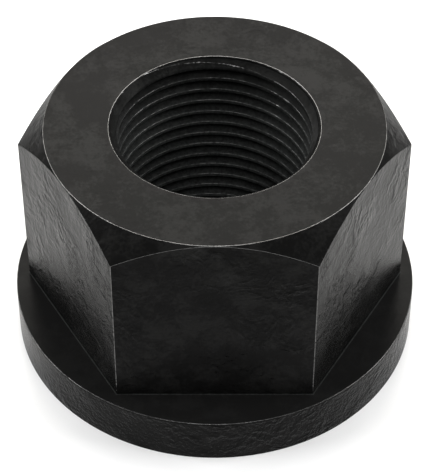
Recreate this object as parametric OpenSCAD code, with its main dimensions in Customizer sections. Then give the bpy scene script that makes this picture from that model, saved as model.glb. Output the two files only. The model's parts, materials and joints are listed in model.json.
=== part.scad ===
// Flanged hex nut: a hexagon and a round collar in one piece of steel, tapped
// right through with a right-hand inch thread.
//
// Millimetres, +Z up. The origin is the centre of the collar's seat, and the
// nut stands on it. Two corners of the hexagon lie on the X axis, so one pair of
// flats faces -Y and +Y.

/* [Hexagon] */
// Width across the flats: 1-5/8 inch
across_flats = 41.275; // [38:0.005:43]
// Height of the whole nut, collar included: 1-1/4 inch
nut_height = 31.75; // [24:0.05:40]
// Diameter of the flat top face, where the corner chamfer starts
chamfer_diameter = 41.15; // [35:0.01:41.2]
// Slope of the corner chamfer below the top face, in degrees
chamfer_angle = 45; // [15:1:50]

/* [Collar] */
// Diameter of the round collar under the hexagon: 2 inches
collar_diameter = 50.8; // [50:0.1:64]
// Thickness of the collar: 1/4 inch
collar_thickness = 6.35; // [3:0.05:10]

/* [Thread] */
// Major diameter of the thread, measured to the roots: 1 inch
major_diameter = 25.4; // [23:0.1:26]
// Threads per inch
threads_per_inch = 14; // [12:2:20]
// Diameter of the countersink where it meets each end face
countersink_diameter = 25.5; // [25.5:0.05:28]
// Included angle of both countersinks, in degrees
countersink_angle = 90; // [82:1:120]

/* [Hidden] */

INCH = 25.4;
HEX_SIDES = 6;
ROUND = 180;
// Overlap that keeps cutting faces clear of the faces that they cut
clear = 1;

hex_corner_radius = across_flats / 2 / cos(180 / HEX_SIDES);

pitch = INCH / threads_per_inch;
// A 60 degree thread: root flat pitch / 8 and crest flat pitch / 4
flank_angle = 30;
sharp_height = pitch / 2 / tan(flank_angle);
thread_depth = sharp_height * 5 / 8;
root_flat = pitch / 8;
crest_flat = pitch / 4;
major_radius = major_diameter / 2;
minor_radius = major_radius - thread_depth;

countersink_radius = countersink_diameter / 2;
countersink_slope = tan(90 - countersink_angle / 2);
countersink_depth = (countersink_radius - minor_radius) * countersink_slope;

// Whole grooves that fit between the countersinks with a crest at each end
groove_count = floor((nut_height - 2 * countersink_depth - crest_flat) / pitch);

// A hexagonal prism whose six corners are turned off by one cone at the top
module hexagon() {
    chamfer_radius = chamfer_diameter / 2;
    cone_reach = nut_height + clear;
    intersection() {
        cylinder(h = nut_height, r = hex_corner_radius, $fn = HEX_SIDES);
        translate([0, 0, -clear])
            cylinder(h = cone_reach,
                     r1 = chamfer_radius + cone_reach / tan(chamfer_angle),
                     r2 = chamfer_radius,
                     $fn = ROUND);
    }
}

// The round collar that spreads the load
module collar() {
    cylinder(h = collar_thickness, d = collar_diameter, $fn = ROUND);
}

// The hole before it is tapped, at the thread's minor diameter
module tapping_hole() {
    translate([0, 0, -clear])
        cylinder(h = nut_height + 2 * clear, r = minor_radius, $fn = ROUND);
}

// One cone that opens upwards from the tapping hole to past the end face
module countersink() {
    depth = countersink_depth;
    translate([0, 0, -depth])
        cylinder(h = depth + clear,
                 r1 = minor_radius,
                 r2 = minor_radius + (depth + clear) / countersink_slope,
                 $fn = ROUND);
}

// The outline of one thread groove: the root flat outside, two 30 degree flanks,
// and a short square tail inside the tapping hole
function groove_outline() = let (
        half_root = root_flat / 2,
        half_mouth = (pitch - crest_flat) / 2,
        inside = minor_radius - clear
    ) [
        [inside, -half_mouth],
        [minor_radius, -half_mouth],
        [major_radius, -half_root],
        [major_radius, half_root],
        [minor_radius, half_mouth],
        [inside, half_mouth]
    ];

// Ring grooves at the true pitch and form stand in for the helical thread, so
// that each crest is a full circle that a bore gauge can measure
module thread_grooves() {
    first = nut_height / 2 - (groove_count - 1) / 2 * pitch;
    for (i = [0 : groove_count - 1])
        translate([0, 0, first + i * pitch])
            rotate_extrude($fn = ROUND)
                polygon(groove_outline());
}

module flange_nut() {
    color([0.15, 0.15, 0.145])
        difference() {
            union() {
                hexagon();
                collar();
            }
            tapping_hole();
            thread_grooves();
            translate([0, 0, nut_height]) countersink();
            mirror([0, 0, 1]) countersink();
        }
}

flange_nut();
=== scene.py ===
"""The look of the flanged hex nut: one finely meshed piece with a true helical
thread and a black-oxide steel material, on a pale floor in soft studio light."""

import json
import math

import bpy
import numpy as np
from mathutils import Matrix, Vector


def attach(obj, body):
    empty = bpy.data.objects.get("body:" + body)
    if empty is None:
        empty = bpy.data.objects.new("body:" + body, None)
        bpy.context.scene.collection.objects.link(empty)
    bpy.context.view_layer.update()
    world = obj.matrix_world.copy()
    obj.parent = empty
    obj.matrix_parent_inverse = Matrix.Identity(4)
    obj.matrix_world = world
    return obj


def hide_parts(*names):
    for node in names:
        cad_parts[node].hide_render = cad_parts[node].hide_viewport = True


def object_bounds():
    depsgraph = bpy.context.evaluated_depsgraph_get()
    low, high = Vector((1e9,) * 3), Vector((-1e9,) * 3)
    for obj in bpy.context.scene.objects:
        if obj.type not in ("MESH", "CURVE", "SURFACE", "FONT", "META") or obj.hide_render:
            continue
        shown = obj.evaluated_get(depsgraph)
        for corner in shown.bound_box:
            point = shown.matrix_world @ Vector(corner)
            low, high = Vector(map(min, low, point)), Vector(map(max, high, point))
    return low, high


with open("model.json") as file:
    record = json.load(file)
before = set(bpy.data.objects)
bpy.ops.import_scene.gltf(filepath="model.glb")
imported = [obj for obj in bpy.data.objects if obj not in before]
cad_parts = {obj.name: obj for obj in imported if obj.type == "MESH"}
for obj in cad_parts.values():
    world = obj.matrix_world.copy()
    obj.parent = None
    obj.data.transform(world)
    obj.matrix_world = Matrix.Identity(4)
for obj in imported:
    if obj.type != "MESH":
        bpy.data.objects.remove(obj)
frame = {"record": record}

cad_low, cad_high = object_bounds()
mounts = {m["name"]: m for m in frame["record"]["mounts"]}

MM = 0.001
INCH = 25.4 * MM

# The nut, in metres. The collar's underside is at height 0.
HEIGHT = cad_high.z
COLLAR_RADIUS = cad_high.x
COLLAR_THICKNESS = INCH / 4
FLAT_RADIUS = abs(mounts["wrench_flat_front"]["pos_m"][1])
CHAMFER_RADIUS = 41.15 * MM / 2
# How far the chamfer falls for each step outwards: 1 is 45 degrees
CHAMFER_SLOPE = 1.0
MOUTH_RADIUS = 25.5 * MM / 2
CREST_RADIUS = mounts["thread"]["dims"]["r_mm"] * MM
PITCH = INCH / 14
# Five eighths of the height of the sharp 60 degree thread
THREAD_DEPTH = PITCH * 5 / 16 * math.sqrt(3)
# Depth below the top face of the first crest's middle, a quarter turn from +X
FIRST_CREST = 1.08 * MM

# Edge rounds, and the strip beside each round over which its wear fades
HEX_CORNER_ROUND = 0.12 * MM
EDGE_ROUND = 0.06 * MM
FOOT_ROUND = 0.10 * MM
WEAR_STRIP = 0.03 * MM
ROUND_STEPS = 3
# The most of each side of a corner that its round and its strip may take up
ROUND_SHARE = 0.4
STRIP_SHARE = 0.48
COLUMNS_PER_FLAT = 26
# Height of the countersink's plain lip, before the thread's roots cut into it
LIP = 0.05 * MM
# Depths below either end face between which the bore is lightened: thinner oxide on
# the cut thread, and painted fill light that grows deeper into the bore's shade. It starts
# above the face, so that the countersink is lightened a little too.
THINNING_AND_PAINTED_FILL = (-0.4 * MM, 9.0 * MM)
# How far the lit flanks are lightened. The crests and roots, which lie in shade, get to 1:
# painted fill light as well as thinner oxide.
FLANK_THIN_AND_PAINTED_FILL = 0.4
# How worn the upper edge of each crest is, and the cut of a countersink at the
# mouth of a groove
CREST_WEAR = 0.70
CUT_WEAR = 0.56
# How worn the hexagon's upright corners are, and the heights above its foot
# between which that wear runs out
CORNER_WEAR = 0.82
CORNER_WEAR_END = (0.45 * MM, 0.95 * MM)
# The step that places are rounded to when shared vertices are looked for
SAME_PLACE = 0.0001 * MM

# The finish. Each pattern's size is that of its largest shapes.
GRAIN = 0.4 * MM
CHIPS = 0.5 * MM
RIPPLE = 1.6 * MM
FOLDS = 4 * MM
BLOTCHES = 5 * MM
PATCHES = 9 * MM
OXIDE_DARK = (0.0056, 0.0056, 0.0055, 1)
OXIDE_LIGHT = (0.0112, 0.0112, 0.0109, 1)
# Lighter oxide: thinner oxide on the cut thread, plus painted fill light in the bore's shade
# and a painted highlight in the hexagon's foot
OXIDE_THIN_AND_PAINTED_LIGHT = (0.046, 0.049, 0.0475, 1)
BARE_STEEL = (0.122, 0.122, 0.121, 1)
# Lighter bare steel where the bore has painted fill light
THREAD_STEEL_AND_PAINTED_FILL = (0.19, 0.19, 0.186, 1)
THIN_ROUGHER = 0.2
ROUGHNESS = 0.24
RELIEF = 0.11 * MM
WEAR_BREAKUP = 1.5
IOR = 1.15

# The studio, in metres, with the camera's elevation in degrees
SOFTBOX_DISTANCE = 0.6
SOFTBOX_SIZE = 0.30
WARM = (1.0, 0.97, 0.91)
WORLD_BRIGHTNESS = 0.1
CAMERA_ELEVATION = 44.877
CAMERA_DISTANCE = 252.96 * MM
CAMERA_TARGET = (0.03 * MM, 0, 0.4007 * HEIGHT)
LENS_MM = 151.98
FLOOR_HALF_WIDTH = 2.0
FLOOR_GRAIN = 3 * MM
CARD_DARK = (0.90, 0.90, 0.90, 1)
CARD_LIGHT = (0.92, 0.92, 0.92, 1)


def unit(vectors):
    return vectors / np.linalg.norm(vectors, axis=-1, keepdims=True)


# --- The mesh: a grid of columns round the axis and rows along the section ---


def corner_spread():
    """Half the angle that the round on a corner of the hexagon takes up."""
    flat_half = (FLAT_RADIUS - HEX_CORNER_ROUND) * math.tan(math.pi / 6)
    return math.pi / 6 - math.atan2(flat_half, FLAT_RADIUS)


def column_angles():
    """Angles of the columns from +X, and how worn a hexagon corner is at each."""
    spread = corner_spread()
    strip = spread + WEAR_STRIP / FLAT_RADIUS
    rounded = [-spread, -spread / 2, 0, spread / 2, spread]
    inner = np.linspace(strip, math.pi / 3 - strip, COLUMNS_PER_FLAT)
    sector = np.concatenate([rounded, inner])
    wear = np.concatenate([np.full(len(rounded), CORNER_WEAR), np.zeros(len(inner))])
    angles = np.concatenate([sector + k * math.pi / 3 for k in range(6)])
    return angles, np.tile(wear, 6)


def hexagon_radius(angles):
    """Distance from the axis to the side of the round-cornered hexagon."""
    sixth = math.pi / 3
    off_corner = angles - np.round(angles / sixth) * sixth
    off_flat = math.pi / 6 - np.abs(off_corner)
    flat = FLAT_RADIUS / np.cos(off_flat)
    centre = (FLAT_RADIUS - HEX_CORNER_ROUND) / math.cos(math.pi / 6)
    inside = np.maximum(HEX_CORNER_ROUND**2 - (centre * np.sin(off_corner)) ** 2, 0)
    rounded = centre * np.cos(off_corner) + np.sqrt(inside)
    return np.where(np.abs(off_corner) < corner_spread(), rounded, flat)


def rounded_corner(before, corner, after, radius, wear, thin_and_painted_light):
    """Rows for one corner of the section: a strip, a small round and a strip.

    Each row is its points, how worn they are and how much their oxide is lightened, which on
    the outside is a painted highlight at the hexagon's foot."""
    back = unit(before - corner)
    ahead = unit(after - corner)
    length_back = np.linalg.norm(before - corner, axis=1, keepdims=True)
    length_ahead = np.linalg.norm(after - corner, axis=1, keepdims=True)
    half_turn = (math.pi - np.arccos(np.sum(back * ahead, axis=1, keepdims=True))) / 2
    room = ROUND_SHARE * np.minimum(length_back, length_ahead)
    setback = np.minimum(radius * np.tan(half_turn), room)
    start = corner + back * setback
    end = corner + ahead * setback
    reach_back = np.minimum(setback + WEAR_STRIP, STRIP_SHARE * length_back)
    reach_ahead = np.minimum(setback + WEAR_STRIP, STRIP_SHARE * length_ahead)
    rows = [(corner + back * reach_back, 0.0, 0.0)]
    for t in np.linspace(0, 1, ROUND_STEPS + 1):
        bend = (1 - t) ** 2 * start + 2 * t * (1 - t) * corner + t**2 * end
        rows.append((bend, wear, thin_and_painted_light))
    rows.append((corner + ahead * reach_ahead, 0.0, 0.0))
    return rows


def outside_rows(angles, corner_wear):
    """Rows from the mouth at the top, down the outside, to the mouth below."""
    count = len(angles)

    def point(radius, height):
        return np.stack(np.broadcast_arrays(radius, height, np.zeros(count))[:2], axis=1)

    wall = hexagon_radius(angles)
    shoulder = HEIGHT - (wall - CHAMFER_RADIUS) * CHAMFER_SLOPE
    lip_top = point(MOUTH_RADIUS - LIP, HEIGHT - LIP)
    mouth_top = point(MOUTH_RADIUS, HEIGHT)
    chamfer_top = point(CHAMFER_RADIUS, HEIGHT)
    chamfer_foot = point(wall, shoulder)
    hexagon_foot = point(wall, COLLAR_THICKNESS)
    collar_top = point(COLLAR_RADIUS, COLLAR_THICKNESS)
    collar_base = point(COLLAR_RADIUS, 0.0)
    mouth_base = point(MOUTH_RADIUS, 0.0)
    lip_base = point(MOUTH_RADIUS - LIP, LIP)
    # Each corner with its round, how worn it is and how much its oxide is lightened
    path = [
        (lip_top, 0, 0, 0),
        (mouth_top, EDGE_ROUND, 1.0, 0),
        (chamfer_top, EDGE_ROUND, 0.9, 0),
        (chamfer_foot, EDGE_ROUND, 0.8, 0),
        # The hexagon's foot is a concave crease, lightened here as a painted highlight
        (hexagon_foot, FOOT_ROUND, 0.0, 0.4),
        (collar_top, EDGE_ROUND, 0.7, 0),
        (collar_base, EDGE_ROUND, 0.6, 0),
        (mouth_base, EDGE_ROUND, 0.8, 0),
        (lip_base, 0, 0, 0),
    ]
    rows = [(lip_top, 0.5, 0.0)]
    for before, here, after in zip(path, path[1:], path[2:]):
        made = rounded_corner(before[0], here[0], after[0], *here[1:])
        # The upright corners' wear starts at the chamfer and ends above the collar
        if here[0] is chamfer_foot:
            made[-1] = (made[-1][0], corner_wear, 0.0)
            bare, worn = CORNER_WEAR_END
            made.append((point(wall, COLLAR_THICKNESS + worn), corner_wear, 0.0))
            made.append((point(wall, COLLAR_THICKNESS + bare), 0.0, 0.0))
        rows += made
    rows.append((lip_base, 0.4, 0.0))
    return rows


def eased_ramp(x, ease):
    """0 below 0, x between 0 and 1, 1 above, with both corners eased."""

    def bend(x):
        return np.where(np.abs(x) < ease, (x + ease) ** 2 / (4 * ease), np.maximum(x, 0))

    return bend(x) - bend(x - 1)


def thread_profile():
    """Phase in the pitch, radius, wear and lightening of each row in one turn, the lightening
    being thinner oxide and painted fill light.
    """
    ease = 0.08
    # Half a crest's flat, and the stretch along the axis of one flank, in pitches
    half_crest = 1 / 8
    flank = 5 / 16
    along_flank = [-ease, 0, ease, 0.24, 0.41, 0.59, 0.76, 1 - ease, 1, 1 + ease]
    side = [half_crest + x * flank for x in along_flank]
    phases = np.array([0.0] + side + [0.5] + [1 - x for x in reversed(side)])
    from_crest = np.abs(phases - np.round(phases))
    ramp = eased_ramp((from_crest - half_crest) / flank, ease)
    wear = np.where(np.isclose(phases, half_crest), CREST_WEAR, 0.0)
    # The crests and the roots, which lie in shade, are lightened fully and the lit flanks less
    # so: thinner oxide on the cut thread, and painted fill light
    thin_and_painted_light = 1 - (1 - FLANK_THIN_AND_PAINTED_FILL) * np.interp(ramp, [0, 0.25, 0.7, 0.95], [0, 1, 1, 0])
    return phases, CREST_RADIUS + THREAD_DEPTH * ramp, wear, thin_and_painted_light


def bore_rows(angles):
    """Rows up the bore that rise one pitch each turn, and the rows in a turn.

    Rows past either countersink's lip lie on it, and where a countersink cuts
    the thread the nearest row is moved on to the cut. The cut is worn where it
    is the mouth of a groove."""
    phases, radii, wears, row_thin_and_painted_light = thread_profile()
    per_turn = len(phases)
    low, high = LIP, HEIGHT - LIP
    start = HEIGHT - FIRST_CREST - PITCH / 4
    start -= PITCH * (math.ceil(start / PITCH) + 1)
    turns = math.ceil((HEIGHT - start) / PITCH) + 1
    base = np.concatenate([start + (k + phases) * PITCH for k in range(turns)])
    height = base[:, None] + PITCH * angles[None, :] / (2 * math.pi)
    height = np.clip(height, low, high)
    thread = np.tile(radii, turns)[:, None]
    wear = np.tile(wears, turns)[:, None] * np.ones_like(height)

    def cone(z):
        return MOUTH_RADIUS - np.minimum(HEIGHT - z, z)

    gap = thread - cone(height)
    free = (height > low) & (height < high)
    radius = np.where(free, np.maximum(thread, cone(height)), cone(height))
    wear = np.where(gap < 0, 0.0, wear)
    depth = np.minimum(height, HEIGHT - height)
    # Lighter deeper in the bore, where less light reaches: painted fill light as well as
    # thinner oxide
    thin_and_painted_light = np.clip((depth - THINNING_AND_PAINTED_FILL[0]) / (THINNING_AND_PAINTED_FILL[1] - THINNING_AND_PAINTED_FILL[0]), 0, 1)
    thin_and_painted_light = thin_and_painted_light * np.tile(row_thin_and_painted_light, turns)[:, None]
    crossing = (gap[:-1] * gap[1:] < 0) & free[:-1] & free[1:]
    for row, column in zip(*np.nonzero(crossing)):
        share = gap[row, column] / (gap[row, column] - gap[row + 1, column])
        z = height[row, column] + share * (height[row + 1, column] - height[row, column])
        nearest = row if share < 0.5 else row + 1
        outer = row + 1 if z > HEIGHT / 2 else row
        height[nearest, column] = z
        radius[nearest, column] = cone(z)
        wear[nearest, column] = CUT_WEAR if gap[outer, column] > 0 else 0.0
    return radius, height, wear, thin_and_painted_light, per_turn


def grid_faces(grid, bore_start, per_turn):
    """The faces of a grid of vertex numbers, closed round the axis.

    Bore rows begin at bore_start, and there are per_turn of them in a turn."""
    rows, columns = grid.shape

    def corner(row, column):
        """The vertex at a place, or None past the top of the bore.

        Past the last column a bore row carries on as the row one turn up."""
        if column < columns:
            return grid[row, column]
        row = row + per_turn if row >= bore_start else row
        return grid[row, 0] if row < rows else None

    faces = []
    for row in range(rows - 1):
        for column in range(columns):
            ring = [
                corner(row, column),
                corner(row + 1, column),
                corner(row + 1, column + 1),
                corner(row, column + 1),
            ]
            if None in ring:
                continue
            ring = [v for i, v in enumerate(ring) if v != ring[i - 1]]
            if len(set(ring)) == len(ring) >= 3:
                faces.append([int(v) for v in ring])
    return faces


def nut_mesh():
    """The whole surface as one closed mesh, with its wear and its lightening: thinner oxide,
    painted fill light and a painted highlight.
    """
    angles, corner_wear = column_angles()
    outside = outside_rows(angles, corner_wear)
    bore_radius, bore_height, bore_wear, bore_thin_and_painted_light, per_turn = bore_rows(angles)
    along = np.ones(len(angles))
    radius = np.concatenate([[row[0][:, 0] for row in outside], bore_radius])
    height = np.concatenate([[row[0][:, 1] for row in outside], bore_height])
    wear = np.concatenate([[row[1] * along for row in outside], bore_wear])
    thin_and_painted_light = np.concatenate([[row[2] * along for row in outside], bore_thin_and_painted_light])
    x = radius * np.cos(angles)
    y = radius * np.sin(angles)
    points = np.stack([x, y, height], axis=2).reshape(-1, 3)

    # Rows that share a place on the lips become one row of vertices
    places = np.round(points / SAME_PLACE).astype(np.int64)
    _, first, same = np.unique(places, axis=0, return_index=True, return_inverse=True)
    faces = grid_faces(same.reshape(radius.shape), len(outside), per_turn)

    mesh = bpy.data.meshes.new("flange_nut_visual")
    mesh.from_pydata(points[first].tolist(), [], faces)
    # The second attribute lightens the oxide: thinner oxide, painted fill light in the bore
    # and a painted highlight at the hexagon's foot
    for name, values in (("wear", wear), ("thin_oxide_and_painted_light", thin_and_painted_light)):
        attribute = mesh.attributes.new(name, "FLOAT", "POINT")
        attribute.data.foreach_set("value", values.reshape(-1)[first].astype(np.float32))
    mesh.polygons.foreach_set("use_smooth", [True] * len(mesh.polygons))
    mesh.validate()
    return mesh


# --- Materials ---


class Nodes:
    """Short names for making the nodes of one material."""

    def __init__(self, name):
        self.material = bpy.data.materials.new(name)
        self.material.use_nodes = True
        self.tree = self.material.node_tree
        self.shader = self.tree.nodes["Principled BSDF"]

    def add(self, kind, settings=None, **inputs):
        """A node with its settings, and its inputs set to values or linked."""
        node = self.tree.nodes.new(kind)
        for key, value in (settings or {}).items():
            setattr(node, key, value)
        for key, value in inputs.items():
            self.put(node.inputs[key.replace("_", " ")], value)
        return node

    def put(self, socket, value):
        if isinstance(value, bpy.types.NodeSocket):
            self.tree.links.new(value, socket)
        else:
            socket.default_value = value

    def place(self):
        return self.add("ShaderNodeTexCoord").outputs["Object"]

    def split(self, vector, axis):
        return self.add("ShaderNodeSeparateXYZ", Vector=vector).outputs[axis]

    def attribute(self, name):
        return self.add("ShaderNodeAttribute", {"attribute_name": name}).outputs["Fac"]

    def noise(self, place, size, detail=3.0, roughness=0.5, distortion=0.0):
        """Soft noise from 0 to 1 whose largest shapes are about size across."""
        made = self.add(
            "ShaderNodeTexNoise",
            Vector=place,
            Scale=1 / size,
            Detail=detail,
            Roughness=roughness,
            Distortion=distortion,
        )
        return made.outputs["Fac"]

    def fit(self, value, low, high, to_low=0.0, to_high=1.0):
        """value mapped from low..high to to_low..to_high, and held there."""
        made = self.add(
            "ShaderNodeMapRange",
            Value=value,
            From_Min=low,
            From_Max=high,
            To_Min=to_low,
            To_Max=to_high,
        )
        return made.outputs["Result"]

    def math(self, operation, first, second):
        node = self.add("ShaderNodeMath", {"operation": operation})
        self.put(node.inputs[0], first)
        self.put(node.inputs[1], second)
        return node.outputs["Value"]

    def mix_colour(self, factor, first, second):
        node = self.add("ShaderNodeMix", {"data_type": "RGBA"})
        self.put(node.inputs["Factor"], factor)
        self.put(node.inputs[6], first)
        self.put(node.inputs[7], second)
        return node.outputs[2]


def torn_blotches(n, place, grain):
    """Where the torn lighter blotches lie, with grain in them."""
    blotches = n.noise(place, BLOTCHES, detail=8, roughness=0.72, distortion=0.3)
    blotches = n.math("ADD", blotches, n.math("MULTIPLY", n.math("SUBTRACT", grain, 0.5), 0.3))
    return n.fit(blotches, 0.46, 0.60)


def oxide_colour(n, height, blotches, grain, thin_and_painted_light):
    """Mottled oxide, lighter where the mask lightens it: thinner oxide, painted fill light in
    the bore and a painted highlight at the hexagon's foot.

    The blotches are fainter up to the collar's top, where the steel is turned."""
    calm = n.fit(height, COLLAR_THICKNESS, COLLAR_THICKNESS + 0.3 * MM, 0.4, 1)
    shade = n.math("ADD", n.math("MULTIPLY", n.math("SUBTRACT", blotches, 0.5), calm), 0.5)
    oxide = n.mix_colour(shade, OXIDE_DARK, OXIDE_LIGHT)
    speckled_thin_and_painted_light = n.math("MULTIPLY", thin_and_painted_light, n.fit(grain, 0.35, 0.65, 0.35, 1))
    return n.mix_colour(speckled_thin_and_painted_light, oxide, OXIDE_THIN_AND_PAINTED_LIGHT)


def broken_wear(n, place):
    """Where the edges are bare: their wear, broken up into chips."""
    chips = n.noise(place, CHIPS, detail=4, roughness=0.7)
    breakup = n.math("MULTIPLY", n.math("SUBTRACT", chips, 0.5), WEAR_BREAKUP)
    return n.fit(n.math("ADD", n.attribute("wear"), breakup), 0.42, 0.72)


def folded_relief(n, place, height, grain):
    """The height of the oxide's folds, ripples and grain.

    Folds run where a noise crosses its middle, and most of them lie in patches."""
    folds = n.noise(place, FOLDS, detail=3, roughness=0.6, distortion=0.5)
    off_fold = n.math("ABSOLUTE", n.math("SUBTRACT", folds, 0.5), 0)
    ridges = n.fit(off_fold, 0, 0.08, 1, 0)
    patches = n.fit(n.noise(place, PATCHES, detail=2), 0.43, 0.58, 0.2, 1)
    ripple = n.noise(place, RIPPLE, detail=4, roughness=0.62, distortion=0.5)
    relief = n.math("ADD", n.math("MULTIPLY", ridges, 0.5), n.math("MULTIPLY", ripple, 1.4))
    relief = n.math("MULTIPLY", relief, patches)

    # There is more grain and relief below the collar's top, for the sake of its rim,
    # and little of either on level faces
    rim_top = 0.95 * COLLAR_THICKNESS
    grain_relief = n.fit(height, rim_top, COLLAR_THICKNESS, 0.65, 0.35)
    relief = n.math("ADD", relief, n.math("MULTIPLY", grain, grain_relief))
    facing_up = n.split(n.add("ShaderNodeNewGeometry").outputs["True Normal"], "Z")
    level = n.fit(n.math("ABSOLUTE", facing_up, 0), 0.4, 0.95, 1, 0.16)
    relief = n.math("MULTIPLY", relief, level)
    on_rim = n.fit(height, rim_top, COLLAR_THICKNESS, 1.4, 1)
    return n.math("MULTIPLY", relief, on_rim)


def black_oxide():
    """Near-black oxide over steel: mottled, folded in patches, bare at worn edges.

    The oxide mirrors next to nothing face on and much more at a low angle, so
    its folds show only there. Its mottling shows in every light."""
    n = Nodes("black_oxide_finish")
    place = n.place()
    height = n.split(place, "Z")
    # Painted fill light in the bore and a painted highlight at the hexagon's foot, together
    # with thinner oxide
    thin_and_painted_light = n.attribute("thin_oxide_and_painted_light")
    grain = n.noise(place, GRAIN, detail=2, roughness=0.6)
    blotches = torn_blotches(n, place, grain)
    worn = broken_wear(n, place)
    oxide = oxide_colour(n, height, blotches, grain, thin_and_painted_light)
    # Bare steel is lighter where the bore has painted fill light
    steel = n.mix_colour(thin_and_painted_light, BARE_STEEL, THREAD_STEEL_AND_PAINTED_FILL)
    n.put(n.shader.inputs["Base Color"], n.mix_colour(worn, oxide, steel))
    n.put(n.shader.inputs["Metallic"], worn)

    roughness = n.fit(blotches, 0, 1, ROUGHNESS + 0.025, ROUGHNESS - 0.015)
    roughness = n.math("ADD", roughness, n.math("MULTIPLY", thin_and_painted_light, THIN_ROUGHER))
    n.put(n.shader.inputs["Roughness"], roughness)

    relief = folded_relief(n, place, height, grain)
    bump = n.add("ShaderNodeBump", Height=relief, Distance=RELIEF, Strength=1.0)
    n.put(n.shader.inputs["Normal"], bump.outputs["Normal"])

    n.shader.inputs["IOR"].default_value = IOR
    n.shader.inputs["Specular Tint"].default_value = (0, 0, 0, 1)
    return n.material


def pale_floor():
    """Matt white card with a hint of grain."""
    n = Nodes("pale_floor")
    grain = n.noise(n.place(), FLOOR_GRAIN, detail=4)
    shade = n.mix_colour(grain, CARD_DARK, CARD_LIGHT)
    n.put(n.shader.inputs["Base Color"], shade)
    n.shader.inputs["Roughness"].default_value = 0.9
    n.shader.inputs["Specular IOR Level"].default_value = 0.1
    return n.material


# --- The stage: floor, lights and camera ---


def add_floor():
    half = FLOOR_HALF_WIDTH
    mesh = bpy.data.meshes.new("floor")
    corners = [(-half, -half, 0), (half, -half, 0), (half, half, 0), (-half, half, 0)]
    mesh.from_pydata(corners, [], [(0, 1, 2, 3)])
    mesh.materials.append(pale_floor())
    floor = bpy.data.objects.new("floor", mesh)
    bpy.context.scene.collection.objects.link(floor)


def aim(thing, target):
    thing.rotation_mode = "QUATERNION"
    thing.rotation_quaternion = (target - thing.location).to_track_quat("-Z", "Y")


def add_softbox(name, azimuth, elevation, power, colour=(1, 1, 1)):
    """A square soft light. Its angles are in degrees and its power in watts.

    Azimuth 0 is on the camera's side, and grows to +X."""
    data = bpy.data.lights.new(name, "AREA")
    data.shape = "SQUARE"
    data.size = SOFTBOX_SIZE
    data.energy = power
    data.color = colour
    light = bpy.data.objects.new(name, data)
    turn = math.radians(azimuth)
    rise = math.radians(elevation)
    level = math.cos(rise)
    away = Vector((math.sin(turn) * level, -math.cos(turn) * level, math.sin(rise)))
    light.location = away * SOFTBOX_DISTANCE
    aim(light, Vector((0, 0, HEIGHT / 2)))
    bpy.context.scene.collection.objects.link(light)


def add_world():
    world = bpy.data.worlds.new("studio")
    world.use_nodes = True
    world.node_tree.nodes["Background"].inputs["Strength"].default_value = WORLD_BRIGHTNESS
    world.node_tree.nodes["Background"].inputs["Color"].default_value = (1, 1, 1, 1)
    bpy.context.scene.world = world


def add_camera():
    data = bpy.data.cameras.new("camera")
    data.sensor_width = 36.0
    data.lens = LENS_MM
    data.clip_start = 0.01
    data.clip_end = 10.0
    camera = bpy.data.objects.new("camera", data)
    target = Vector(CAMERA_TARGET)
    elevation = math.radians(CAMERA_ELEVATION)
    away = Vector((0, -math.cos(elevation), math.sin(elevation)))
    camera.location = target + away * CAMERA_DISTANCE
    aim(camera, target)
    bpy.context.scene.collection.objects.link(camera)
    bpy.context.scene.camera = camera


# --- Assembly ---

nut = bpy.data.objects.new("flange_nut_body", nut_mesh())
nut.data.materials.append(black_oxide())
bpy.context.scene.collection.objects.link(nut)
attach(nut, "root")
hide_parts("flange_nut")

add_floor()
add_world()
add_softbox("back_softbox", azimuth=180, elevation=52, power=2.85, colour=WARM)
add_softbox("top_softbox", azimuth=0, elevation=62, power=1.5)
for name, side in (("right", 1), ("left", -1)):
    add_softbox(f"{name}_back_softbox", azimuth=180 - side * 45, elevation=33, power=0.95)
    add_softbox(f"{name}_softbox", azimuth=side * 90, elevation=37, power=2.2)
add_camera()
bpy.context.scene.view_settings.view_transform = "Standard"
